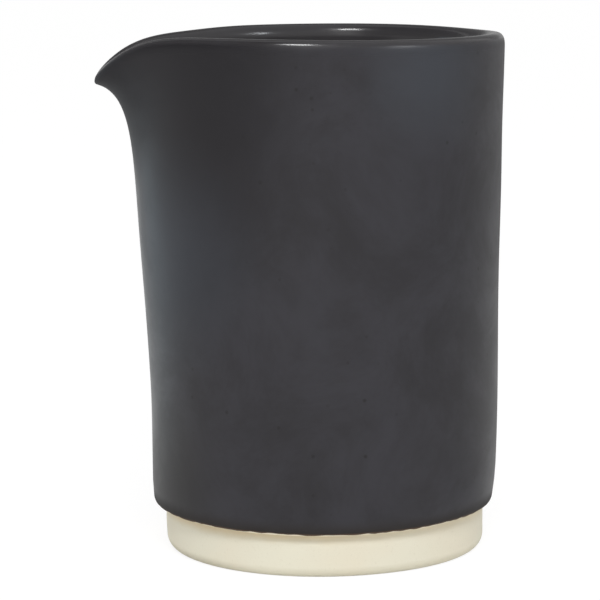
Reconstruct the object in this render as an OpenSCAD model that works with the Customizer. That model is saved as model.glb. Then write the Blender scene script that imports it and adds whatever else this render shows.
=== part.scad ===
// Handleless stoneware jug: a drawn clay wall with a pulled spout, luted with slip to a turned foot,
// a satin glaze coat on the outside and a glossy liner glaze on the inside and over the rim.
// The spout points along -X, the jug stands on the plane z = 0 and its axis is the Z axis.

/* [Body] */
// Height of the rim above the table
rim_h = 160; // [130:1:220]
// Outside diameter at the rim
rim_d = 112.4; // [90:0.2:150]
// Outside diameter at the lower edge of the body
body_d = 107; // [90:0.2:140]
// Thickness of the wall with both glaze coats
wall_t = 6.2; // [4:0.1:9]
// Height of the rounding on the rim
rim_round_h = 4.2; // [2:0.1:8]
// Radius of the rounding on the lower edge of the body
body_edge_r = 2; // [1:0.1:3]
// Height over the joint in which the inside widens from the foot to the wall
heel_h = 13; // [6:0.5:25]

/* [Foot] */
// How far the foot is set in from the lower edge of the body
foot_inset = 3.9; // [3.2:0.1:8]
// Height of the bare foot
foot_h = 13.8; // [10:0.1:25]
// Radius of the rounding on the foot's lower edge
foot_edge_r = 2.6; // [0.5:0.1:5]
// Width of the ring that the foot stands on, with its rounding
foot_ring_w = 9; // [6:0.5:20]
// Depth of the recess under the foot
recess_depth = 2; // [0.5:0.1:4]
// Thickness of the floor
floor_t = 7; // [4:0.1:10]
// Radius of the hollow where the floor meets the side
floor_fillet_r = 6; // [2:0.1:9]
// Thickness of the foot's side around the floor
foot_side_t = 4.8; // [4.2:0.1:8]

/* [Joint] */
// Height of the tongue on the foot that enters the wall
tongue_h = 4; // [2:0.1:8]
// Thickness of the tongue
tongue_t = 2.2; // [1.5:0.1:2.6]
// Thickness of the slip that fills the joint
slip_t = 0.6; // [0.3:0.1:0.9]

/* [Spout] */
// How far the lip is drawn out past the round rim
lip_pull = 10.7; // [4:0.1:18]
// How far the tip of the lip is bent down below the rim
lip_drop = 10.2; // [0:0.1:18]
// Distance below the rim's rounding at which the lip begins to bend
lip_reach = 48.4; // [30:0.2:80]
// Angle on each side of the spout at which the lip has run out into the rim
lip_half_angle = 65; // [40:1:85]
// How far the wall under the lip is pushed out
belly_pull = 3.4; // [0:0.1:6]
// Distance below the rim at which the wall begins to be pushed out
belly_reach = 110; // [80:1:130]
// Distance below the rim at which the wall is fully pushed out
belly_full = 27; // [10:1:50]
// Angle on each side of the spout over which the wall is pushed out
belly_half_angle = 60; // [40:1:90]
// Share of the rim's thickness and rounding that is drawn out of the lip's tip
lip_thin_share = 0.45; // [0:0.05:0.6]

/* [Glaze] */
// Thickness of each glaze coat
glaze_t = 0.4; // [0.2:0.05:0.8]
// Angle round the body's lower edge at which the outer coat was wiped off
wipe_angle = 52; // [10:1:80]

/* [Hidden] */
$fn = 96;

// Meridians round the drawn wall, and rows of points up a wall and a heel, over the rim,
// round the lower edge and in the floor's hollow
meridians = 80;
wall_rows = 11;
heel_rows = 4;
rim_rows = 6;
edge_rows = 3;
fillet_rows = 4;

// How sharply each part of the lip gathers towards the tip and towards the rim
pull_taper = 4.5;
drop_taper = 9;
pull_power = 4.8;
drop_power = 2.2;
belly_taper = 2;
// How closely the rows of points crowd towards the rim
row_crowding = 1.7;

// How far a cut runs past the face that it opens
cut_overrun = 1;

clay_colour = [0.89, 0.86, 0.77];
slip_colour = [0.78, 0.70, 0.58];
coat_colour = [0.24, 0.24, 0.25];
liner_colour = [0.20, 0.20, 0.21];

rim_r = rim_d / 2;
body_r = body_d / 2;
foot_r = body_r - foot_inset;
rim_base_z = rim_h - rim_round_h;
edge_top_z = foot_h + body_edge_r;

floor_z = recess_depth + floor_t;
tongue_top_z = foot_h + tongue_h;
joint_top_z = tongue_top_z + slip_t;
foot_in_r = foot_r - foot_side_t;
tongue_out_r = foot_in_r + tongue_t;
rebate_r = tongue_out_r + slip_t;
shelf_z = foot_h - slip_t;
fillet_r = min(floor_fillet_r, tongue_top_z - floor_z);
heel_z = joint_top_z + heel_h;

belly_start_z = max(rim_h - belly_reach, heel_z);
belly_full_z = rim_h - belly_full;

// 0 below the range, 1 above it, with a soft start and end
function ease(t) = let (c = min(max(t, 0), 1)) c * c * (3 - 2 * c);

// 1 on the spout's own meridian, falling to 0 at the half angle on either side
function gather(turn, half_angle, taper) =
    let (off = turn > 180 ? turn - 360 : turn)
    abs(off) < half_angle ? pow(cos(90 * off / half_angle), taper) : 0;

// 0 where the lip begins to bend, 1 where the rim's rounding begins
function lip_share(z) = max(0, 1 - (rim_base_z - z) / lip_reach);

function belly_out(turn, z) =
    belly_pull * gather(turn, belly_half_angle, belly_taper)
    * ease((z - belly_start_z) / (belly_full_z - belly_start_z));

function lip_out(turn, z) =
    lip_pull * gather(turn, lip_half_angle, pull_taper) * pow(lip_share(z), pull_power);

function lip_down(turn, z) =
    lip_drop * gather(turn, lip_half_angle, drop_taper) * pow(lip_share(z), drop_power);

function thin_share(turn, z) =
    lip_thin_share * gather(turn, lip_half_angle, drop_taper) * lip_share(z);

// A section point [radius, height, inward share, rise over the rim's base] on one meridian
function drawn(p, turn) =
    let (
        z = p[1],
        thin = thin_share(turn, z),
        r = p[0] + p[2] * wall_t * thin
    )
    [
        -r * cos(turn) - belly_out(turn, z) - lip_out(turn, z),
        r * sin(turn),
        z - lip_down(turn, z) + p[3] * (1 - thin)
    ];

// Radius of the finished outside between the lower edge and the rim
function outside_r(z) =
    body_r + (rim_r - body_r) * (z - edge_top_z) / (rim_base_z - edge_top_z);

// Heights from one level to another, closer together towards the upper one
function rows(low, high, count) =
    [for (i = [0 : count]) low + (high - low) * (1 - pow(1 - i / count, row_crowding))];

function reversed(list) = [for (i = [len(list) - 1 : -1 : 0]) list[i]];

// A point round the body's lower edge, from 0 on the side to 90 on the underside
function edge_point(depth, angle) =
    let (r = body_edge_r + glaze_t - depth)
    [body_r - glaze_t - body_edge_r + r * cos(angle), edge_top_z - r * sin(angle), 0, 0];

// The bare clay under the line at which the outer coat was wiped off
bare_edge_section = [
    for (i = [edge_rows : -1 : 1])
    edge_point(glaze_t, wipe_angle + (90 - wipe_angle) * i / edge_rows)
];

// The outside from the wiped edge up to the rim, at a depth below the finished surface
function outside_section(depth) = concat(
    [for (i = [edge_rows : -1 : 1]) edge_point(depth, wipe_angle * i / edge_rows)],
    [for (z = rows(edge_top_z, rim_base_z, wall_rows)) [outside_r(z) - depth, z, 0, 0]]
);

// Over the rim from the outside to the inside, without its two ends
function rim_section(depth) = [
    for (i = [1 : rim_rows - 1])
    let (angle = 180 * i / rim_rows)
    [
        rim_r - wall_t / 2 + (wall_t / 2 - depth) * cos(angle),
        rim_base_z,
        (1 - cos(angle)) / 2,
        (rim_round_h - depth) * sin(angle)
    ]
];

// The inside from the joint up to the rim, at a depth below the finished surface
function inside_section(depth) = concat(
    [
        for (i = [0 : heel_rows - 1])
        let (
            z = joint_top_z + heel_h * i / heel_rows,
            wall_r = outside_r(z) - wall_t,
            foot_side_r = foot_in_r - glaze_t
        )
        [foot_side_r + (wall_r - foot_side_r) * ease(i / heel_rows) + depth, z, 0, 0]
    ],
    [for (z = rows(heel_z, rim_base_z, wall_rows)) [outside_r(z) - wall_t + depth, z, 1, 0]]
);

// The floor's edge and the hollow beside it, at a depth below the finished surface
function floor_section(depth) = [
    for (i = [0 : fillet_rows])
    let (
        angle = 90 * i / fillet_rows,
        r = fillet_r - glaze_t + depth
    )
    [foot_in_r - fillet_r + r * sin(angle), floor_z + fillet_r - r * cos(angle), 0, 0]
];

// Solid drawn from a section: a closed ring, or a cup whose first and last rows are capped
module drawn_solid(section, cup) {
    count = len(section);
    last = cup ? count - 2 : count - 1;
    points = [
        for (p = section)
        for (i = [0 : meridians - 1])
        drawn(p, 360 * i / meridians)
    ];
    function at(row, i) = (row % count) * meridians + i % meridians;
    function height(row) = section[row % count][1] + section[row % count][3];
    // Every quad is split from its lower row to the next meridian up, so that skins that touch match
    sides = [
        for (row = [0 : last])
        for (i = [0 : meridians - 1])
        each height(row) <= height(row + 1)
            ? [
                [at(row, i), at(row, i + 1), at(row + 1, i + 1)],
                [at(row, i), at(row + 1, i + 1), at(row + 1, i)]
            ]
            : [
                [at(row, i), at(row, i + 1), at(row + 1, i)],
                [at(row, i + 1), at(row + 1, i + 1), at(row + 1, i)]
            ]
    ];
    caps = [
        [for (i = [meridians - 1 : -1 : 0]) at(0, i)],
        [for (i = [0 : meridians - 1]) at(count - 1, i)]
    ];
    polyhedron(points, cup ? concat(sides, caps) : sides);
}

// Bare turned foot with the floor, the tongue of the joint and a recess underneath
module foot() {
    color(clay_colour)
    rotate_extrude()
    difference() {
        foot_block();
        foot_hollow();
        translate([0, -cut_overrun])
        square([foot_r - foot_ring_w, recess_depth + cut_overrun]);
    }
}

module foot_block() {
    square([foot_r - foot_edge_r, shelf_z]);
    translate([0, foot_edge_r])
    square([foot_r, shelf_z - foot_edge_r]);
    translate([foot_r - foot_edge_r, foot_edge_r])
    circle(foot_edge_r);
    square([tongue_out_r, tongue_top_z]);
}

module foot_hollow() {
    translate([0, floor_z])
    square([foot_in_r - fillet_r, tongue_top_z - floor_z + cut_overrun]);
    translate([0, floor_z + fillet_r])
    square([foot_in_r, tongue_top_z - floor_z - fillet_r + cut_overrun]);
    translate([foot_in_r - fillet_r, floor_z + fillet_r])
    circle(fillet_r);
}

// Slip squeezed between the foot and the wall, on the shelf, beside the tongue and over it
module luting_slip() {
    color(slip_colour)
    rotate_extrude()
    polygon([
        [tongue_out_r, shelf_z],
        [foot_r, shelf_z],
        [foot_r, foot_h],
        [rebate_r, foot_h],
        [rebate_r, joint_top_z],
        [foot_in_r, joint_top_z],
        [foot_in_r, tongue_top_z],
        [tongue_out_r, tongue_top_z]
    ]);
}

// Clay wall with the pulled spout; its rebate takes the tongue and its underside sits on the slip
module wall() {
    seat_r = rebate_r / cos(180 / meridians);
    color(clay_colour)
    drawn_solid(
        concat(
            [[seat_r, joint_top_z, 0, 0], [seat_r, foot_h, 0, 0]],
            bare_edge_section,
            outside_section(glaze_t),
            rim_section(glaze_t),
            reversed(inside_section(glaze_t))
        ),
        false
    );
}

// Satin coat on the outside, from the wiped lower edge to the rim
module outer_glaze() {
    color(coat_colour)
    drawn_solid(
        concat(
            outside_section(0),
            reversed(outside_section(glaze_t))
        ),
        false
    );
}

// Glossy liner on the floor, the inside and over the rim, where it meets the outer coat
module liner_glaze() {
    rim_outer = [rim_r, rim_base_z, 0, 0];
    rim_clay = [rim_r - glaze_t, rim_base_z, 0, 0];
    color(liner_colour)
    drawn_solid(
        concat(
            floor_section(glaze_t),
            inside_section(glaze_t),
            reversed(rim_section(glaze_t)),
            [rim_clay, rim_outer],
            rim_section(0),
            reversed(inside_section(0)),
            reversed(floor_section(0))
        ),
        true
    );
}

foot();
luting_slip();
wall();
outer_glaze();
liner_glaze();
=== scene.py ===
# Looks of a handleless stoneware jug: a thrown clay wall with a pulled spout, a satin charcoal coat
# outside, a glossy charcoal liner inside and over the rim, and a bare cream foot luted on with slip.
from math import atan2, cos, degrees, exp, hypot, pi, radians, sin

import bpy
from mathutils import Matrix, Vector, noise


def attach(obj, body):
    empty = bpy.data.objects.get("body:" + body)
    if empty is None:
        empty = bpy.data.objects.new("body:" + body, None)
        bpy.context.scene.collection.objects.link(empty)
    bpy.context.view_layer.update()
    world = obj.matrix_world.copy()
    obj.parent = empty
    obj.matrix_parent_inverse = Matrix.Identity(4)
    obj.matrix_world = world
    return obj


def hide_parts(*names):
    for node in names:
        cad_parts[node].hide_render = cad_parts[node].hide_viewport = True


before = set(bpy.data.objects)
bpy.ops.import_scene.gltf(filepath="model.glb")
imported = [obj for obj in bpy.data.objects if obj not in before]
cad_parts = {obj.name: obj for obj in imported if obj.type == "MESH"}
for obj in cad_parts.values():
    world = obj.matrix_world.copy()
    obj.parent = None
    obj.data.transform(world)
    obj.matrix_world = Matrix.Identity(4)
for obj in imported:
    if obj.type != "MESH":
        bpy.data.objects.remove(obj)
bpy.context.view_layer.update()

# Sizes of the jug in millimetres; MM takes them to the frame's metres
MM = 0.001
RIM_BASE = 155.8
RIM_ROUND = 4.19
RIM_FULL = 2.8
RIM_FULL_IN = 2.0
RIM_R = 56.2
BODY_R = 53.5
WALL_T = 6.2
COAT_T = 0.4
EDGE_R = 2.0
FOOT_H = 13.8
FOOT_R = 49.6
FOOT_EDGE_R = 2.6
FOOT_EDGE_H = 3.4
RECESS_R = 40.6
RECESS_DEPTH = 2.0
RECESS_ROUND = 0.8
RING_MIDDLE = 44
RING_SOFT, RING_SOFT_MIDDLE = 0.5, 0.15
FLOOR_Z = 9.0
HOLLOW_R = 6.0
FOOT_IN_R = 44.8
TONGUE_R = 47.0
TONGUE_TOP = 17.8
SLIP_T = 0.6
SLIP_SOFT_IN, SLIP_SOFT_UP = 0.05, 0.15
SEAT_R = TONGUE_R + SLIP_T
SHELF_Z = FOOT_H - SLIP_T
JOINT_TOP = TONGUE_TOP + SLIP_T
HEEL_TOP = 31.4
EDGE_TOP = FOOT_H + EDGE_R
EDGE_CENTRE = BODY_R - COAT_T - EDGE_R
WIPE_ANGLE = 40
WIPED_Z = EDGE_TOP - EDGE_R * sin(radians(WIPE_ANGLE))

# The spout: how far and over what angle the lip and the wall under it are drawn out
LIP_PULL, LIP_DROP, LIP_REACH, LIP_HALF = 10.7, 10.7, 63, 65
PULL_TAPER, DROP_TAPER, PULL_POWER, DROP_POWER = 4, 8.0, 4.6, 4.7
BELLY_PULL, BELLY_HALF, BELLY_TAPER, BELLY_START, BELLY_FULL = 2.7, 60, 2, 58, 141
PINCH, PINCH_IN, PINCH_OUT, PINCH_POWER = 0.06, 25, 112, 1.5
LIP_THIN, LIP_FULL, LIP_SOFT = 0.09, 2.4, 1.2
TIP_DROP, TIP_WIDTH = 0.4, 5

# What the hand left: a slow sway and a soft wobble up the wall, and a rim that is highest beside the spout
SWAY, SWAY_TURNS = 0.42, 1.4
WOBBLE, WOBBLE_SIZE = 0.12, 42
RIM_LOW, RIM_HIGH_TURN, RIM_HIGH_WIDTH, LOW_POWER = 0.6, -59, 44, 3
SAGS = ((1.02, 35.5, 18), (0.56, 158, 27))
TUCK, TUCK_HEIGHT = 0.4, 8
TUCK_BACK, TUCK_BACK_HEIGHT = 0.35, 13
DENTS = ((0.26, 180, 130, 17), (0.2, 0, 48, 11))
DENT_WIDTH = 70
EDGE_SAG, EDGE_SAG_TURN, EDGE_SAG_WIDTH, EDGE_SAG_HEIGHT = 0.62, -86, 58, 12
FOOT_OFF, FOOT_WEAR_HEIGHT = 0.22, 9
FOOT_WEARS = ((0.32, 0, 60), (0.6, -108, 30))
NICK_WIDE, NICK_FINE = 10, 13
NICK_WIDE_SIZE, NICK_FINE_SIZE = 14, 2.6
NICK_SHIFT = Vector((0, 0, 7.3))

# Points round every thrown piece, rows and steps of its section, and the least move of a press in metres
MERIDIANS = 288
EDGE_STEPS, BARE_EDGE_STEPS, WALL_STEPS, CROWDING = 10, 6, 44, 1.5
RIM_STEPS, INSIDE_STEPS, HEEL_STEPS, HOLLOW_STEPS = 24, 40, 10, 10
RECESS_STEPS, FOOT_EDGE_STEPS = 4, 12
FLOOR_ROWS = (34, 28, 21, 14, 8, 4, 1.5)
UNDER_ROWS = (1.5, 6, 13, 20, 27, 34)
SIDE_ROWS = (6, 8, 10, 12)
COAT_THIN_ROWS = (0.35, 0.8, 0.95)
LEAST_MOVE = 1e-9


# Throwing: a ring of points is set on the wheel and pulled, row by row, along a section

def set_ring(name, radius, height):
    bpy.ops.object.select_all(action="DESELECT")
    middle = (0, 0, height * MM)
    bpy.ops.mesh.primitive_circle_add(vertices=MERIDIANS, radius=radius * MM, location=middle)
    ring = bpy.context.object
    ring.name = name
    ring.data.name = name
    bpy.ops.object.transform_apply(location=True, rotation=True, scale=True)
    bpy.ops.object.mode_set(mode="EDIT")
    bpy.ops.mesh.select_mode(type="VERT")
    bpy.ops.mesh.select_all(action="SELECT")
    return ring


def pull_row(before, after):
    rise = (after[1] - before[1]) * MM
    grow = after[0] / before[0]
    bpy.ops.mesh.extrude_region_move(TRANSFORM_OT_translate={"value": (0, 0, rise)})
    bpy.ops.transform.resize(value=(grow, grow, 1), center_override=(0, 0, after[1] * MM))


def select_rim():
    bpy.ops.mesh.select_non_manifold(
        extend=False, use_wire=False, use_boundary=True,
        use_multi_face=False, use_non_contiguous=False, use_verts=False,
    )


def throw(name, section, ends):
    """Throw a piece along its section of (radius, height) points. Its ends are joined to each other
    ("ring"), left open ("open"), or the last row ("cup") or both end rows ("lump") close at the axis."""
    piece = set_ring(name, *section[0])
    if ends == "lump":
        bpy.ops.mesh.edge_face_add()
        bpy.ops.mesh.poke()
        bpy.ops.mesh.select_all(action="DESELECT")
        select_rim()
    for before, after in zip(section, section[1:]):
        pull_row(before, after)
    if ends in ("cup", "lump"):
        bpy.ops.mesh.edge_face_add()
        bpy.ops.mesh.poke()
    if ends == "ring":
        bpy.ops.mesh.select_all(action="DESELECT")
        select_rim()
        bpy.ops.mesh.bridge_edge_loops()
    bpy.ops.mesh.select_all(action="SELECT")
    bpy.ops.mesh.normals_make_consistent(inside=False)
    bpy.ops.object.mode_set(mode="OBJECT")
    return piece


def apply(piece, modifier):
    bpy.ops.object.select_all(action="DESELECT")
    piece.select_set(True)
    bpy.context.view_layer.objects.active = piece
    bpy.ops.object.modifier_apply(modifier=modifier.name)


def press(piece, target):
    """Press every point of a piece to where target puts it, by weighted moves along the three axes."""
    moves = [target(v.co / MM) * MM - v.co for v in piece.data.vertices]
    for axis, name in enumerate("XYZ"):
        for sign in (1, -1):
            amounts = [sign * move[axis] for move in moves]
            most = max(amounts)
            if most < LEAST_MOVE:
                continue
            group = piece.vertex_groups.new(name="press")
            for index, amount in enumerate(amounts):
                if amount > 0:
                    group.add([index], amount / most, "REPLACE")
            push = piece.modifiers.new("press", "DISPLACE")
            push.direction = name
            push.vertex_group = group.name
            push.strength = sign * most
            push.mid_level = 0
            apply(piece, push)
            piece.vertex_groups.remove(piece.vertex_groups["press"])


def lay_coat(piece, thin_rows=()):
    """Give a skin on the clay the thickness of the glaze, thinner on the rows next to the wiped edge."""
    group = piece.vertex_groups.new(name="coat")
    count = len(piece.data.vertices)
    group.add(range(count), 1.0, "REPLACE")
    for row, share in enumerate(thin_rows):
        group.add(range(row * MERIDIANS, (row + 1) * MERIDIANS), share, "REPLACE")
    coat = piece.modifiers.new("coat", "SOLIDIFY")
    coat.thickness = COAT_T * MM
    coat.offset = 1
    coat.use_even_offset = True
    coat.use_quality_normals = True
    coat.vertex_group = group.name
    apply(piece, coat)
    piece.vertex_groups.remove(piece.vertex_groups["coat"])


def note(piece, name, measure):
    """Keep a measure of each point from before the spout is drawn, for a finish to follow."""
    kept = piece.data.attributes.new(name, "FLOAT", "POINT")
    for value, vertex in zip(kept.data, piece.data.vertices):
        value.value = measure(vertex.co / MM)


def height_up(point):
    return point.z * MM


def share_across(point):
    return min(max((outside_r(min(point.z, RIM_BASE)) - hypot(point.x, point.y)) / WALL_T, 0), 1)


def finish_piece(piece, material, node, sharp=35):
    bpy.ops.object.select_all(action="DESELECT")
    piece.select_set(True)
    bpy.context.view_layer.objects.active = piece
    bpy.ops.object.shade_smooth_by_angle(angle=radians(sharp))
    piece.data.materials.clear()
    piece.data.materials.append(material)
    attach(piece, "root")
    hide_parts(node)


# Sections of the jug, as (radius, height) points

def ease(t):
    t = min(max(t, 0), 1)
    return t * t * (3 - 2 * t)


def steps(count):
    return [i / count for i in range(count + 1)]


def quarter(count):
    return [(cos(pi / 2 * t), sin(pi / 2 * t)) for t in steps(count)]


def outside_r(z):
    return BODY_R + (RIM_R - BODY_R) * (z - EDGE_TOP) / (RIM_BASE - EDGE_TOP)


def edge_point(angle):
    return (EDGE_CENTRE + EDGE_R * cos(radians(angle)), EDGE_TOP - EDGE_R * sin(radians(angle)))


def crowded(low, high, count):
    return [low + (high - low) * (1 - (1 - t) ** CROWDING) for t in steps(count)]


def fullness(side, top, power):
    return (abs(side) ** power + abs(top) ** power) ** (1 / power)


def outside_clay():
    """Clay under the outer coat, from the wiped edge up to the rim."""
    edge = [edge_point(WIPE_ANGLE * (1 - t)) for t in steps(EDGE_STEPS)[:-1]]
    wall = [(outside_r(z) - COAT_T, z) for z in crowded(EDGE_TOP, RIM_BASE, WALL_STEPS)]
    return edge + wall


def rim_clay():
    """Clay over the rim, from the outside to the inside, fuller than an ellipse on the outside."""
    half = WALL_T / 2
    section = []
    for t in steps(RIM_STEPS):
        side, top = cos(pi * t), sin(pi * t)
        full = 1 / fullness(side, top, RIM_FULL if side > 0 else RIM_FULL_IN)
        out = (half - COAT_T) * side * full
        up = (RIM_ROUND - COAT_T) * top * full
        section.append((RIM_R - half + out, RIM_BASE + up))
    return section


def inside_clay():
    """Clay of the inside, from the rim down to the joint."""
    wall = [(outside_r(z) - WALL_T + COAT_T, z) for z in crowded(HEEL_TOP, RIM_BASE, INSIDE_STEPS)]
    low_r = wall[0][0]
    heel = [
        (FOOT_IN_R + (low_r - FOOT_IN_R) * ease(t), JOINT_TOP + (HEEL_TOP - JOINT_TOP) * t)
        for t in steps(HEEL_STEPS)[:-1]
    ]
    return (heel + wall)[::-1]


def hollow_clay():
    """Clay of the floor, from the side down the hollow and in to the middle."""
    hollow = [
        (FOOT_IN_R - HOLLOW_R + HOLLOW_R * side, FLOOR_Z + HOLLOW_R - HOLLOW_R * down)
        for side, down in quarter(HOLLOW_STEPS)
    ]
    floor = [(r, FLOOR_Z) for r in FLOOR_ROWS]
    return hollow + floor


# How the drawn spout and the hand move the clay

def gather(turn, half, taper):
    return cos(radians(90 * turn / half)) ** taper if abs(turn) < half else 0


def bell(turn, middle, width):
    off = (turn - middle + 180) % 360 - 180
    return exp(-(off / width) ** 2)


def under_rim(z):
    """How far a point lies under the rim, easing to nothing on the rim itself."""
    gap = RIM_BASE - z
    if abs(gap) < LIP_SOFT:
        return (gap + LIP_SOFT) ** 2 / (4 * LIP_SOFT)
    return max(gap, 0)


def rounder(radius, z, lip):
    """Make the outside of the rim rounder at the lip than it is round the mouth."""
    half = WALL_T / 2
    side, top = (radius - RIM_R + half) / half, (z - RIM_BASE) / RIM_ROUND
    if side <= 0 or top <= 0:
        return radius, z
    scale = fullness(side, top, RIM_FULL) / fullness(side, top, RIM_FULL + (LIP_FULL - RIM_FULL) * lip)
    return RIM_R - half + half * side * scale, RIM_BASE + RIM_ROUND * top * scale


def drawn(point):
    """Where a thrown point, in millimetres, ends up once the spout is pulled and the wall has settled."""
    x, y, z = point
    turn = degrees(atan2(y, -x))
    lip = gather(turn, LIP_HALF, DROP_TAPER)
    radius, z = rounder(hypot(x, y), z, lip)
    base = RIM_BASE - under_rim(z)
    up = (base - EDGE_TOP) / (RIM_BASE - EDGE_TOP)
    share = max(0, 1 - (RIM_BASE - base) / LIP_REACH)
    thin = LIP_THIN * lip * share
    across = share_across(point)
    swell = ease((base - BELLY_START) / (BELLY_FULL - BELLY_START))
    out = BELLY_PULL * gather(turn, BELLY_HALF, BELLY_TAPER) * swell
    out += LIP_PULL * gather(turn, LIP_HALF, PULL_TAPER) * share ** PULL_POWER
    down = (LIP_DROP * lip + TIP_DROP * bell(turn, 0, TIP_WIDTH)) * share ** DROP_POWER
    low = RIM_LOW * (1 - bell(turn, RIM_HIGH_TURN, RIM_HIGH_WIDTH))
    low += sum(deep * bell(turn, middle, width) for deep, middle, width in SAGS)
    down += low * share ** LOW_POWER
    narrow = PINCH * (1 - ease((abs(turn) - PINCH_IN) / (PINCH_OUT - PINCH_IN))) * share ** PINCH_POWER
    radius_moved = radius + across * WALL_T * thin
    if 0 < up < 1:
        hand = WOBBLE * noise.noise(Vector(point) / WOBBLE_SIZE) * (up * (1 - up) * 4) ** 0.5
        radius_moved += hand
        out -= SWAY * sin(2 * pi * SWAY_TURNS * up) * (1 - up)
    for deep, middle, height, size in DENTS:
        radius_moved -= deep * bell(turn, middle, DENT_WIDTH) * exp(-((z - height) / size) ** 2)
    angle = radians(turn)
    outer = ease((radius - SEAT_R) / (BODY_R - SEAT_R))
    radius_moved -= TUCK * outer * ease(1 - (z - FOOT_H) / TUCK_HEIGHT)
    radius_moved += TUCK_BACK * outer * min(cos(angle), 0) * ease(1 - (z - FOOT_H) / TUCK_BACK_HEIGHT)
    sag = EDGE_SAG * bell(turn, EDGE_SAG_TURN, EDGE_SAG_WIDTH)
    down += sag * outer * ease(1 - (z - FOOT_H) / EDGE_SAG_HEIGHT)
    return Vector((
        -radius_moved * cos(angle) - out,
        radius_moved * sin(angle) * (1 - narrow),
        z - down - (z - base) * thin,
    ))


def settled(point):
    """Where a point of the foot ends up: a little off the middle, and worn rounder on two sides."""
    x, y, z = point
    radius = hypot(x, y)
    outer = ease((radius - SEAT_R + EDGE_R) / EDGE_R)
    turn = degrees(atan2(y, -x))
    wear = sum(deep * bell(turn, middle, width) for deep, middle, width in FOOT_WEARS)
    wear *= ease(1 - z / FOOT_WEAR_HEIGHT)
    return Vector((x + (FOOT_OFF - wear * x / radius) * outer, y - wear * y / radius * outer, z))


def wiped(point):
    """Where a point of the outer coat ends up once the lower edge is wiped and the spout is drawn."""
    x, y, z = point
    if z < EDGE_TOP:
        radius = hypot(x, y)
        angle = atan2(EDGE_TOP - z, radius - EDGE_CENTRE)
        arc = hypot(EDGE_TOP - z, radius - EDGE_CENTRE)
        round_edge = Vector((x, y, 0)) * (BODY_R / radius)
        nick = NICK_WIDE * noise.noise(round_edge / NICK_WIDE_SIZE)
        nick += NICK_FINE * noise.noise(round_edge / NICK_FINE_SIZE + NICK_SHIFT)
        angle += radians(nick) * (degrees(angle) / WIPE_ANGLE) ** 2
        grown = (EDGE_CENTRE + arc * cos(angle)) / radius
        point = Vector((x * grown, y * grown, EDGE_TOP - arc * sin(angle)))
    return drawn(point)


# Colours of the finishes

GLAZE_CLOUDS = {
    "Deep": (0.0137, 0.0126, 0.0158, 1),
    "Bloom": (0.0243, 0.0234, 0.0298, 1),
    "Speck": (0.0065, 0.0060, 0.0065, 1),
}
# Liner colours from the rim inwards, painted paler than the charcoal to stand in for light inside the jug
LINER_PAINTED_LIGHT_CLOUDS = {
    "Deep": (0.0240, 0.0224, 0.0248, 1),
    "Bloom": (0.0305, 0.0290, 0.0328, 1),
    "Speck": (0.0120, 0.0105, 0.0115, 1),
}
# Painted paler still on the inside wall and floor, as painted light
LINER_INSIDE_PAINTED_LIGHT = (0.040, 0.038, 0.041, 1)
WIPED_BROWN = (0.017, 0.0135, 0.012, 1)
THIN_BROWN = (0.110, 0.062, 0.032, 1)
FOOT_CREAM = (0.80, 0.768, 0.637, 1)
# Bare clay of the wall, painted paler than the clay to stand in for light on its down-facing wiped edge
WALL_CREAM_PAINTED_LIGHT = (0.92, 0.86, 0.70, 1)
CLAY_WARM = (0.80, 0.75, 0.612, 1)
CLAY_GRIT = (0.66, 0.61, 0.48, 1)
# Tan of the band next to the joint: partly a flash tint, partly painted shade under the wall's overhang
FLASH_AND_SHADE_TAN = (0.70, 0.595, 0.405, 1)
# Painted shade along the lower edge of the foot
LOW_SHADE_GREY = (0.61, 0.575, 0.45, 1)
SLIP_TONES = {
    "Clay": (0.66, 0.56, 0.42, 1),
    "Warm": (0.60, 0.47, 0.33, 1),
    "Grit": (0.45, 0.35, 0.25, 1),
}

# Soft patches of the finishes: middle, full reach, whole reach and unevenness, in millimetres

# Painted shade round and under the spout
SPOUT_PAINTED_SHADE = ((-48, 0, 146), 38, 84, 26)
# Blue painted sheen high on one side: a softbox's broad reflection painted into the glaze
HIGH_PAINTED_SHEEN = ((30, -48, 150), 2, 29, 9)
# Blue painted sheen on the side below the spout
SIDE_PAINTED_SHEEN = ((-49, -27, 93), 6, 42, 14)
# Painted shade low on the wall below the spout
LOW_PAINTED_SHADE = ((-50, -24, 26), 5, 32, 10)
DRY_LIP = ((-66, 0, 146), 10, 40, 8)
# Side where the band's painted shade is strongest, painting a longer shadow under the overhang there
FIRE_AND_SHADE_SIDE = ((-30, -36, 13), 10, 60, 20)
# Side where the painted shade along the foot's lower edge is strongest
LOW_SHADE_SIDE = ((-46, -20, 1), 10, 36, 8)
# Painted shade and painted sheen laid over the charcoal glaze
PAINTED_SHADE_AND_SHEEN = (
    (SPOUT_PAINTED_SHADE, (0.0054, 0.0042, 0.0066, 1)),
    (HIGH_PAINTED_SHEEN, (0.0315, 0.0350, 0.0445, 1)),
    (SIDE_PAINTED_SHEEN, (0.0210, 0.0240, 0.0325, 1)),
    (LOW_PAINTED_SHADE, (0.0098, 0.0084, 0.0090, 1)),
)

# Bands of the finishes, some stained and some painted shade: height, reach and unevenness, in millimetres

WIPED_BAND = (WIPED_Z, 4.6, 1.2)
THIN_BAND = (WIPED_Z - 0.1, 0.75, 0.3)
# Band next to the joint: partly a flash tint, partly painted shade under the wall's overhang
FLASH_AND_SHADE_BAND = (13.4, 3.7, 1.8)
# Painted shade along the foot's lower edge
LOW_SHADE_BAND = (0.8, 2.9, 0.9)

# How rough a coat is from cloud to cloud, and how much rougher where it is dry

SATIN_ROUGH = (0.46, 0.41)
GLOSS_ROUGH = (0.18, 0.22)
DRY_ROUGHER = 0.3


# Finishes

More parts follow.
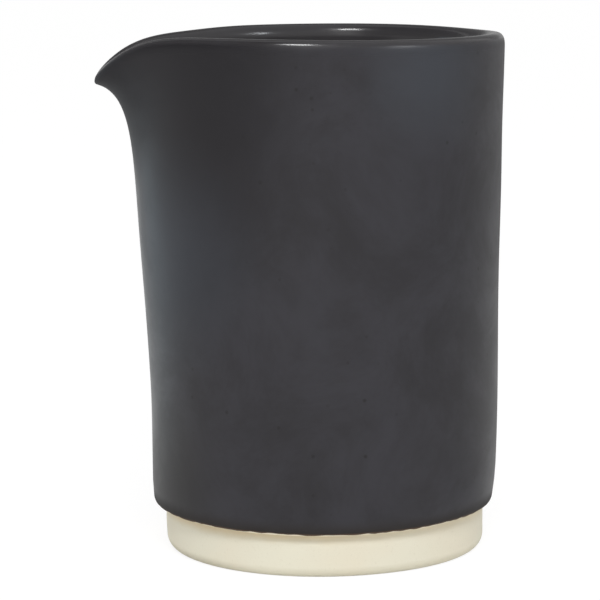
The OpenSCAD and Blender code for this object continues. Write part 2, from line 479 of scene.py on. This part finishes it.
def place(tree, kind, settings=(), links=(), **values):
    made = tree.nodes.new(kind)
    for key, value in dict(settings).items():
        setattr(made, key, value)
    for key, value in dict(links).items():
        tree.links.new(value, made.inputs[key])
    for key, value in values.items():
        made.inputs[key.replace("_", " ")].default_value = value
    return made


def colour_mix(tree, share, first, second, kind="MIX"):
    made = place(tree, "ShaderNodeMix", {"data_type": "RGBA", "blend_type": kind})
    for index, value in ((0, share), (6, first), (7, second)):
        if isinstance(value, bpy.types.NodeSocket):
            tree.links.new(value, made.inputs[index])
        else:
            made.inputs[index].default_value = value
    return made.outputs[2]


def sums(tree, operation, first, second):
    made = place(tree, "ShaderNodeMath", {"operation": operation})
    for index, value in enumerate((first, second)):
        if isinstance(value, bpy.types.NodeSocket):
            tree.links.new(value, made.inputs[index])
        else:
            made.inputs[index].default_value = value
    return made.outputs[0]


def spread(tree, value, low, high, to_low=0.0, to_high=1.0):
    made = place(
        tree, "ShaderNodeMapRange", {"interpolation_type": "SMOOTHSTEP"}, {"Value": value},
        From_Min=low, From_Max=high, To_Min=to_low, To_Max=to_high,
    )
    return made.outputs["Result"]


def new_group(name, inputs, outputs):
    tree = bpy.data.node_groups.new(name, "ShaderNodeTree")
    for label, kind in inputs:
        tree.interface.new_socket(name=label, in_out="INPUT", socket_type="NodeSocket" + kind)
    for label, kind in outputs:
        tree.interface.new_socket(name=label, in_out="OUTPUT", socket_type="NodeSocket" + kind)
    return tree, tree.nodes.new("NodeGroupInput").outputs, tree.nodes.new("NodeGroupOutput").inputs


def glaze_mottle_group():
    """Clouded glaze colour with sparse specks, and the fine and broad unevenness of its surface."""
    tree, given, out = new_group(
        "glaze_mottle",
        [("Place", "Vector"), ("Deep", "Color"), ("Bloom", "Color"), ("Speck", "Color"),
         ("Cloud Scale", "Float"), ("Speck Scale", "Float"), ("Ripple Scale", "Float")],
        [("Colour", "Color"), ("Cloud", "Float"), ("Height", "Float")],
    )
    cloud = place(
        tree, "ShaderNodeTexNoise", links={"Vector": given["Place"], "Scale": given["Cloud Scale"]},
        Detail=5.0, Roughness=0.78, Distortion=0.4,
    )
    clouds = spread(tree, cloud.outputs["Fac"], 0.32, 0.68)
    cells = place(
        tree, "ShaderNodeTexVoronoi", links={"Vector": given["Place"], "Scale": given["Speck Scale"]},
    )
    rare = place(tree, "ShaderNodeSeparateColor", links={"Color": cells.outputs["Color"]})
    chosen = spread(tree, rare.outputs["Red"], 0.55, 0.9)
    spots = spread(tree, cells.outputs["Distance"], 0.04, 0.17, 1.0, 0.0)
    specks = sums(tree, "MULTIPLY", spots, chosen)
    ripple = place(
        tree, "ShaderNodeTexNoise", links={"Vector": given["Place"], "Scale": given["Ripple Scale"]},
        Detail=2.0, Roughness=0.5,
    )
    skin = place(
        tree, "ShaderNodeTexNoise", links={"Vector": given["Place"]},
        Scale=2100.0, Detail=3.0, Roughness=0.6,
    )
    base = colour_mix(tree, clouds, given["Deep"], given["Bloom"])
    tree.links.new(colour_mix(tree, specks, base, given["Speck"]), out["Colour"])
    tree.links.new(clouds, out["Cloud"])
    fine = sums(tree, "MULTIPLY", skin.outputs["Fac"], 0.12)
    rough = sums(tree, "ADD", ripple.outputs["Fac"], fine)
    pits = sums(tree, "MULTIPLY", specks, 0.3)
    tree.links.new(sums(tree, "SUBTRACT", rough, pits), out["Height"])
    return tree


def edge_stain_and_shade_group():
    """Uneven band that is strongest at one height and fades away from it, for stains and for painted
    shade.
    """
    tree, given, out = new_group(
        "edge_stain_and_shade",
        [("Place", "Vector"), ("Height", "Float"),
         ("Line", "Float"), ("Spread", "Float"), ("Uneven", "Float")],
        [("Mask", "Float")],
    )
    drift = place(
        tree, "ShaderNodeTexNoise", links={"Vector": given["Place"]},
        Scale=130.0, Detail=3.0, Roughness=0.6,
    )
    shift = sums(tree, "MULTIPLY", sums(tree, "SUBTRACT", drift.outputs["Fac"], 0.5), given["Uneven"])
    level = sums(tree, "ADD", given["Height"], shift)
    off = place(tree, "ShaderNodeMath", {"operation": "ABSOLUTE"})
    tree.links.new(sums(tree, "SUBTRACT", level, given["Line"]), off.inputs[0])
    far = sums(tree, "DIVIDE", off.outputs[0], given["Spread"])
    tree.links.new(spread(tree, far, 0.0, 1.0, 1.0, 0.0), out["Mask"])
    return tree


def soft_pool_group():
    """Patch round one place, full inside Near and gone past Far, with an uneven edge."""
    tree, given, out = new_group(
        "soft_pool",
        [("Place", "Vector"), ("Centre", "Vector"),
         ("Near", "Float"), ("Far", "Float"), ("Uneven", "Float")],
        [("Mask", "Float")],
    )
    drift = place(
        tree, "ShaderNodeTexNoise", links={"Vector": given["Place"]},
        Scale=34.0, Detail=3.0, Roughness=0.55,
    )
    gap = place(
        tree, "ShaderNodeVectorMath", {"operation": "DISTANCE"}, {0: given["Place"], 1: given["Centre"]},
    )
    shift = sums(tree, "MULTIPLY", sums(tree, "SUBTRACT", drift.outputs["Fac"], 0.5), given["Uneven"])
    reach = sums(tree, "ADD", gap.outputs["Value"], shift)
    width = sums(tree, "SUBTRACT", given["Far"], given["Near"])
    past = sums(tree, "DIVIDE", sums(tree, "SUBTRACT", reach, given["Near"]), width)
    tree.links.new(spread(tree, past, 0.0, 1.0, 1.0, 0.0), out["Mask"])
    return tree


def clay_grain_group():
    """Fired clay: a drifting warm tone, fine grit, and the turning lines left by the tool."""
    tree, given, out = new_group(
        "clay_grain",
        [("Place", "Vector"), ("Clay", "Color"), ("Warm", "Color"), ("Grit", "Color")],
        [("Colour", "Color"), ("Height", "Float")],
    )
    drift = place(
        tree, "ShaderNodeTexNoise", links={"Vector": given["Place"]},
        Scale=38.0, Detail=3.0, Roughness=0.5,
    )
    warm = spread(tree, drift.outputs["Fac"], 0.35, 0.7)
    grain = place(
        tree, "ShaderNodeTexNoise", links={"Vector": given["Place"]},
        Scale=1500.0, Detail=3.0, Roughness=0.65,
    )
    grit = spread(tree, grain.outputs["Fac"], 0.56, 0.74, 0.0, 0.35)
    stretch = place(
        tree, "ShaderNodeMapping", links={"Vector": given["Place"]}, Scale=(12.0, 12.0, 1100.0),
    )
    lines = place(
        tree, "ShaderNodeTexNoise", links={"Vector": stretch.outputs["Vector"]},
        Scale=1.0, Detail=2.0, Roughness=0.5,
    )
    toned = colour_mix(tree, warm, given["Clay"], given["Warm"])
    tree.links.new(colour_mix(tree, grit, toned, given["Grit"]), out["Colour"])
    fine = sums(tree, "MULTIPLY", grain.outputs["Fac"], 0.5)
    tree.links.new(sums(tree, "ADD", fine, lines.outputs["Fac"]), out["Height"])
    return tree


GLAZE_MOTTLE = glaze_mottle_group()
EDGE_STAIN_AND_SHADE = edge_stain_and_shade_group()
SOFT_POOL = soft_pool_group()
CLAY_GRAIN = clay_grain_group()


def new_finish(name):
    material = bpy.data.materials.new(name)
    material.use_nodes = True
    tree = material.node_tree
    shader = tree.nodes["Principled BSDF"]
    spot = tree.nodes.new("ShaderNodeTexCoord").outputs["Object"]
    return material, tree, shader, spot


def use_group(tree, group, links, **values):
    return place(tree, "ShaderNodeGroup", {"node_tree": group}, links, **values).outputs


def patch(tree, spot, middle, near, far, uneven):
    return use_group(
        tree, SOFT_POOL, {"Place": spot},
        Centre=[c * MM for c in middle], Near=near * MM, Far=far * MM, Uneven=uneven * MM,
    )["Mask"]


def band(tree, spot, height, line, reach, uneven):
    return use_group(
        tree, EDGE_STAIN_AND_SHADE, {"Place": spot, "Height": height},
        Line=line * MM, Spread=reach * MM, Uneven=uneven * MM,
    )["Mask"]


def bump(tree, shader, height, strength, depth):
    made = place(
        tree, "ShaderNodeBump", links={"Height": height},
        Strength=strength, Distance=depth * MM,
    )
    tree.links.new(made.outputs["Normal"], shader.inputs["Normal"])


def charcoal(tree, spot):
    """Clouded charcoal with painted shade, darkest round the spout and dark again low on the wall below
    it, and a blue painted sheen, strongest high up on one side with a little of it below the spout. It is
    dullest round the spout."""
    mottle = use_group(
        tree, GLAZE_MOTTLE, {"Place": spot}, **GLAZE_CLOUDS,
        Cloud_Scale=26.0, Speck_Scale=200.0, Ripple_Scale=90.0,
    )
    toned = mottle["Colour"]
    # Lay the painted shade and painted sheen patches over the clouds
    for where, tone in PAINTED_SHADE_AND_SHEEN:
        toned = colour_mix(tree, patch(tree, spot, *where), toned, tone)
    satin = spread(tree, mottle["Cloud"], 0.0, 1.0, *SATIN_ROUGH)
    dull = sums(tree, "ADD", satin, sums(tree, "MULTIPLY", patch(tree, spot, *DRY_LIP), DRY_ROUGHER))
    return toned, dull, mottle["Height"]


def satin_charcoal():
    """Satin coat: charcoal, browner at the wiped edge."""
    material, tree, shader, spot = new_finish("satin_charcoal")
    toned, dull, unevenness = charcoal(tree, spot)
    height = place(tree, "ShaderNodeAttribute", {"attribute_name": "height_up"}).outputs["Fac"]
    edge = band(tree, spot, height, *WIPED_BAND)
    thin = band(tree, spot, height, *THIN_BAND)
    stained = colour_mix(tree, edge, toned, WIPED_BROWN)
    stained = colour_mix(tree, thin, stained, THIN_BROWN)
    tree.links.new(stained, shader.inputs["Base Color"])
    dry = sums(tree, "ADD", dull, sums(tree, "MULTIPLY", edge, DRY_ROUGHER))
    tree.links.new(dry, shader.inputs["Roughness"])
    shader.inputs["Specular IOR Level"].default_value = 0.4
    bump(tree, shader, unevenness, strength=0.35, depth=0.12)
    return material


def gloss_charcoal():
    """Liner: the same charcoal on the rim's outside, painted paler over the rim and palest inside as
    painted light, glossy from the rim inwards.
    """
    material, tree, shader, spot = new_finish("gloss_charcoal")
    toned, dull, _ = charcoal(tree, spot)
    mottle = use_group(
        tree, GLAZE_MOTTLE, {"Place": spot}, **LINER_PAINTED_LIGHT_CLOUDS,
        Cloud_Scale=30.0, Speck_Scale=200.0, Ripple_Scale=230.0,
    )
    across = place(tree, "ShaderNodeAttribute", {"attribute_name": "share_across"}).outputs["Fac"]
    polish = spread(tree, across, 0.0, 0.09)
    rim = colour_mix(tree, polish, toned, mottle["Colour"])
    # Painted light: paler still on the inside wall and floor
    inside = colour_mix(tree, spread(tree, across, 0.9, 1.0), rim, LINER_INSIDE_PAINTED_LIGHT)
    tree.links.new(inside, shader.inputs["Base Color"])
    gloss = spread(tree, mottle["Cloud"], 0.0, 1.0, *GLOSS_ROUGH)
    polished = place(tree, "ShaderNodeMix", links={0: polish, 2: dull, 3: gloss})
    tree.links.new(polished.outputs[0], shader.inputs["Roughness"])
    shader.inputs["Specular IOR Level"].default_value = 0.4
    bump(tree, shader, mottle["Height"], strength=0.35, depth=0.12)
    return material


def bare_clay(name, clay, flash_and_shade_share):
    """Bare cream clay with a tan band next to the joint, partly a flash tint and partly painted shade
    under the wall's overhang, strongest on the side where that painted shadow is longest; and painted
    shade along the lower edge of the foot, strongest on one side."""
    material, tree, shader, spot = new_finish(name)
    grain = use_group(tree, CLAY_GRAIN, {"Place": spot}, Clay=clay, Warm=CLAY_WARM, Grit=CLAY_GRIT)
    height = place(tree, "ShaderNodeSeparateXYZ", links={"Vector": spot}).outputs["Z"]
    fire_and_shade_side = spread(tree, patch(tree, spot, *FIRE_AND_SHADE_SIDE), 0.0, 1.0, 0.5 * flash_and_shade_share, flash_and_shade_share)
    # Tan band next to the joint: partly a flash tint, partly painted shade under the wall's overhang
    flash_and_shade = sums(tree, "MULTIPLY", band(tree, spot, height, *FLASH_AND_SHADE_BAND), fire_and_shade_side)
    tone = colour_mix(tree, flash_and_shade, grain["Colour"], FLASH_AND_SHADE_TAN)
    # Painted shade along the foot's lower edge, strongest on one side
    worn = spread(tree, patch(tree, spot, *LOW_SHADE_SIDE), 0.0, 1.0, 0.3, 0.85)
    low_shade = sums(tree, "MULTIPLY", band(tree, spot, height, *LOW_SHADE_BAND), worn)
    tone = colour_mix(tree, low_shade, tone, LOW_SHADE_GREY)
    tree.links.new(tone, shader.inputs["Base Color"])
    tree.links.new(spread(tree, grain["Height"], 0.4, 1.2, 0.82, 0.70), shader.inputs["Roughness"])
    shader.inputs["Specular IOR Level"].default_value = 0.25
    bump(tree, shader, grain["Height"], strength=0.25, depth=0.06)
    return material


def tan_slip():
    """Fired slip in the joint, darker and rougher than the clay."""
    material, tree, shader, spot = new_finish("tan_slip")
    grain = use_group(tree, CLAY_GRAIN, {"Place": spot}, **SLIP_TONES)
    tree.links.new(grain["Colour"], shader.inputs["Base Color"])
    tree.links.new(spread(tree, grain["Height"], 0.4, 1.2, 0.9, 0.8), shader.inputs["Roughness"])
    shader.inputs["Specular IOR Level"].default_value = 0.2
    bump(tree, shader, grain["Height"], strength=0.4, depth=0.08)
    return material


# The pieces

def make_wall(clay):
    bare_edge = [edge_point(90 - (90 - WIPE_ANGLE) * t) for t in steps(BARE_EDGE_STEPS)[:-1]]
    section = [(SEAT_R, JOINT_TOP), (SEAT_R, FOOT_H)] + bare_edge + outside_clay()
    section += rim_clay()[1:-1] + inside_clay()
    wall = throw("thrown_wall", section, "ring")
    press(wall, drawn)
    finish_piece(wall, clay, "wall")


def make_satin_coat(glaze):
    coat = throw("satin_coat", outside_clay(), "open")
    lay_coat(coat, thin_rows=COAT_THIN_ROWS)
    note(coat, "height_up", height_up)
    press(coat, wiped)
    finish_piece(coat, glaze, "outer_glaze")


def make_liner(glaze):
    section = rim_clay() + inside_clay()[1:] + hollow_clay()
    liner = throw("gloss_liner", section, "cup")
    lay_coat(liner)
    note(liner, "share_across", share_across)
    press(liner, drawn)
    finish_piece(liner, glaze, "liner_glaze")


def make_foot(clay):
    under = [(r, RECESS_DEPTH) for r in UNDER_ROWS]
    recess = [
        (RECESS_R - RECESS_ROUND + RECESS_ROUND * side, RECESS_DEPTH - RECESS_ROUND + RECESS_ROUND * up)
        for up, side in quarter(RECESS_STEPS)
    ]
    ring = [
        (RECESS_R, RING_SOFT), (RECESS_R + RING_SOFT_MIDDLE, RING_SOFT_MIDDLE),
        (RECESS_R + RING_SOFT, 0), (RING_MIDDLE, 0),
    ]
    edge = [
        (FOOT_R - FOOT_EDGE_R + FOOT_EDGE_R * side, FOOT_EDGE_H - FOOT_EDGE_H * down)
        for down, side in quarter(FOOT_EDGE_STEPS)
    ]
    side = [(FOOT_R, z) for z in SIDE_ROWS + (SHELF_Z,)]
    tongue = [(TONGUE_R, SHELF_Z), (TONGUE_R, TONGUE_TOP), (FOOT_IN_R, TONGUE_TOP)]
    foot = throw("turned_foot", under + recess + ring + edge + side + tongue + hollow_clay(), "lump")
    press(foot, settled)
    finish_piece(foot, clay, "foot")


def make_slip(slip):
    section = [
        (TONGUE_R, SHELF_Z), (FOOT_R - SLIP_SOFT_IN, SHELF_Z),
        (FOOT_R, SHELF_Z + SLIP_SOFT_UP), (FOOT_R, FOOT_H - SLIP_SOFT_UP),
        (FOOT_R - SLIP_SOFT_IN, FOOT_H), (SEAT_R, FOOT_H), (SEAT_R, JOINT_TOP),
        (FOOT_IN_R, JOINT_TOP), (FOOT_IN_R, TONGUE_TOP), (TONGUE_R, TONGUE_TOP),
    ]
    seam = throw("slip_seam", section, "ring")
    press(seam, settled)
    finish_piece(seam, slip, "luting_slip")


# The foot's tan band is partly a flash tint and partly painted shade under the wall
make_foot(bare_clay("flashed_and_shaded_clay", FOOT_CREAM, flash_and_shade_share=0.95))
make_slip(tan_slip())
# The wall's bare edge is painted paler than its clay, as painted light
make_wall(bare_clay("pale_clay_painted_light", WALL_CREAM_PAINTED_LIGHT, flash_and_shade_share=0.1))
make_satin_coat(satin_charcoal())
make_liner(gloss_charcoal())


# Camera at the photograph's angle, with its turns in radians

CAMERA_SPOT = Vector((-45.6, -840, 203.7)) * MM
CAMERA_YAW = -0.0459
CAMERA_TILT = 0.1502
CAMERA_ROLL = -0.0067
CAMERA_LENS = 164.2

bpy.ops.object.select_all(action="DESELECT")
bpy.ops.object.camera_add()
camera = bpy.context.object
camera.name = "studio_camera"
turned = Matrix.Rotation(CAMERA_YAW, 4, "Z") @ Matrix.Rotation(pi / 2 - CAMERA_TILT, 4, "X")
turned = turned @ Matrix.Rotation(CAMERA_ROLL, 4, "Z")
camera.matrix_world = Matrix.Translation(CAMERA_SPOT) @ turned
camera.data.sensor_width = 36
camera.data.lens = CAMERA_LENS
camera.data.clip_start = 0.05
camera.data.clip_end = 50
bpy.context.scene.camera = camera


# Plain studio in metres: white floor and surround, one softbox, two glint strips and cards for the glaze

AIM = Vector((0, 0, 0.085))
ROUND_LIGHT = 0.7
WHITE_IN_GLOSS = 0.3
WHITE = (1, 1, 1, 1)
FLOOR_SIZE = 14
FLOOR_PAINT = (0.9, 0.9, 0.9, 1)
FLOOR_WHITE = 0.78
FLOOR_GLOW = 1.1
MAT_LIFT = 0.001


def whitened(tree, share):
    """How far the studio is whitened where the camera sees it, and less in a gloss or a glass."""
    rays = tree.nodes.new("ShaderNodeLightPath").outputs
    mirrored = sums(tree, "MAXIMUM", rays["Is Glossy Ray"], rays["Is Transmission Ray"])
    seen = sums(tree, "MAXIMUM", rays["Is Camera Ray"], sums(tree, "MULTIPLY", mirrored, WHITE_IN_GLOSS))
    return sums(tree, "MULTIPLY", seen, share)


def make_surround():
    world = bpy.data.worlds.new("white_studio")
    world.use_nodes = True
    tree = world.node_tree
    tree.nodes.clear()
    light = place(tree, "ShaderNodeBackground", Color=WHITE, Strength=ROUND_LIGHT).outputs[0]
    white = place(tree, "ShaderNodeBackground", Color=WHITE, Strength=1.0).outputs[0]
    mix = place(tree, "ShaderNodeMixShader", links={0: whitened(tree, 1.0), 1: light, 2: white})
    place(tree, "ShaderNodeOutputWorld", links={"Surface": mix.outputs[0]})
    bpy.context.scene.world = world


def make_floor():
    bpy.ops.object.select_all(action="DESELECT")
    bpy.ops.mesh.primitive_plane_add(size=FLOOR_SIZE)
    floor = bpy.context.object
    floor.name = "studio_floor"
    material = bpy.data.materials.new("white_floor")
    material.use_nodes = True
    tree = material.node_tree
    tree.nodes.clear()
    paint = place(tree, "ShaderNodeBsdfDiffuse", Color=FLOOR_PAINT).outputs[0]
    white = place(tree, "ShaderNodeEmission", Color=WHITE, Strength=FLOOR_GLOW).outputs[0]
    mix = place(tree, "ShaderNodeMixShader", links={0: whitened(tree, FLOOR_WHITE), 1: paint, 2: white})
    place(tree, "ShaderNodeOutputMaterial", links={"Surface": mix.outputs[0]})
    floor.data.materials.append(material)


def hang_softbox(name, turn, lift, distance, size, power, tint, glint):
    """Hang a softbox by its angle from the camera's side and its angle above the table, aimed at
    the jug. A glint strip only shows as a highlight in the glaze, and any other only as light."""
    around = radians(turn) + CAMERA_YAW
    up = radians(lift)
    away = Vector((sin(around) * cos(up), -cos(around) * cos(up), sin(up)))
    bpy.ops.object.select_all(action="DESELECT")
    bpy.ops.object.light_add(type="AREA")
    lamp = bpy.context.object
    lamp.name = name
    facing = away.to_track_quat("Z", "Y").to_matrix().to_4x4()
    lamp.matrix_world = Matrix.Translation(AIM + away * distance) @ facing
    lamp.data.shape = "RECTANGLE"
    lamp.data.size, lamp.data.size_y = size
    lamp.data.energy = power
    lamp.data.color = tint
    lamp.visible_diffuse = not glint
    lamp.visible_glossy = glint


def set_card(name, spot, size, turn, tone, low=0.0, flat=False):
    """Set a card beside the jug, standing or lying flat, so that the glaze has something else to show
    than the white studio. It is only seen in the glaze."""
    bpy.ops.object.select_all(action="DESELECT")
    bpy.ops.mesh.primitive_plane_add(size=1)
    card = bpy.context.object
    card.name = name
    bpy.ops.transform.resize(value=(size[0], size[1], 1))
    if not flat:
        bpy.ops.transform.rotate(value=pi / 2, orient_axis="X", center_override=(0, 0, 0))
    bpy.ops.transform.rotate(value=radians(turn), orient_axis="Z", center_override=(0, 0, 0))
    bpy.ops.transform.translate(value=(spot[0], spot[1], MAT_LIFT if flat else low + size[1] / 2))
    material = bpy.data.materials.new(name)
    material.use_nodes = True
    tree = material.node_tree
    tree.nodes.clear()
    shade = place(tree, "ShaderNodeEmission", Color=(*tone, 1), Strength=1.0)
    place(tree, "ShaderNodeOutputMaterial", links={"Surface": shade.outputs[0]})
    card.data.materials.append(material)
    card.visible_camera = False
    card.visible_diffuse = False
    card.visible_transmission = False
    card.visible_shadow = False


make_surround()
make_floor()
set_card("back_card", (0.125, 0.45), (0.65, 0.25), 0, (0.5, 0.5, 0.5))
set_card("left_back_card", (-0.115, 0.44), (0.17, 0.105), 0, (2.0, 2.02, 2.03))
set_card("back_flag", (-0.1, 0.45), (0.42, 0.65), 0, (0.22, 0.22, 0.22), low=0.25)
set_card("back_side_card", (0.28, 0.45), (0.34, 0.65), 0, (0.32, 0.32, 0.32), low=0.25)
set_card("right_card", (0.5, 0.05), (0.8, 0.4), 90, (0.6, 0.6, 0.6))
set_card("right_flag", (0.5, 0.05), (0.8, 0.5), 90, (0.85, 0.85, 0.85), low=0.4)
set_card("front_card", (-0.4, -1.14), (0.5, 1.05), -19, (1.6, 1.6, 1.6), low=0.33)
set_card("left_card", (-0.35, 0.283), (0.56, 0.2), 51, (1.25, 1.5, 1.65))
set_card("left_flag", (-0.453, 0.211), (1.1, 0.39), 65, (0.28, 0.28, 0.28), low=0.2)
set_card("left_top_card", (-0.453, 0.211), (1.1, 0.7), 65, (0.2, 0.2, 0.2), low=0.59)
set_card("left_mat", (-0.225, 0.242), (0.22, 0.33), 38, (1.16, 1.2, 1.2), flat=True)
set_card("left_back_mat", (-0.085, 0.29), (0.09, 0.28), 0, (1.5, 1.5, 1.5), flat=True)
set_card("right_mat", (0.125, -0.01), (0.08, 0.07), 0, (0.55, 0.55, 0.55), flat=True)
hang_softbox("front_softbox", 3, 40, 1.2, (0.5, 0.26), 5.8, (1.0, 0.99, 0.97), glint=False)
hang_softbox("top_strip", -24.5, 54.5, 1.14, (0.25, 0.12), 4.5, (1.0, 1.0, 1.0), glint=True)
hang_softbox("side_strip", 54, 30, 1.08, (0.16, 0.12), 1.55, (0.93, 0.96, 1.0), glint=True)

bpy.context.scene.view_settings.view_transform = "Standard"
